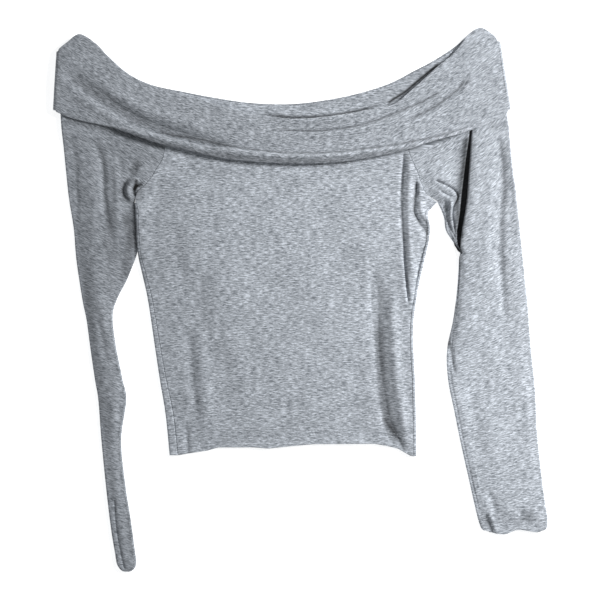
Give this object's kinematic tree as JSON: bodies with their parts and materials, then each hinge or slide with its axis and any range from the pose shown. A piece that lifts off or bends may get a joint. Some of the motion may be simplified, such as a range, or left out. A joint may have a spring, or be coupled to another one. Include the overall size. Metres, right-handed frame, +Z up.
{
  "type": "off-shoulder top",
  "caption": "Long-sleeved off-shoulder jersey top with a wide fold-over collar, laid flat face up with its sleeves hanging down.",
  "frame": {"origin": "on the surface that the top lies on, under the middle of its outline", "axes": "+X to the right as the front is looked at, +Y from the cuffs towards the neck, +Z up from the surface"},
  "size_m": [0.6507, 0.7156, 0.0211],
  "materials": {
    "body_jersey": "matt heather grey jersey",
    "sleeve_jersey": "matt heather grey jersey",
    "collar_jersey": "matt heather grey jersey"
  },
  "bodies": {
    "root": {"front_panel": "body_jersey", "back_panel": "body_jersey", "sleeve_left": "sleeve_jersey", "sleeve_right": "sleeve_jersey", "collar": "collar_jersey"}
  },
  "joints": []
}
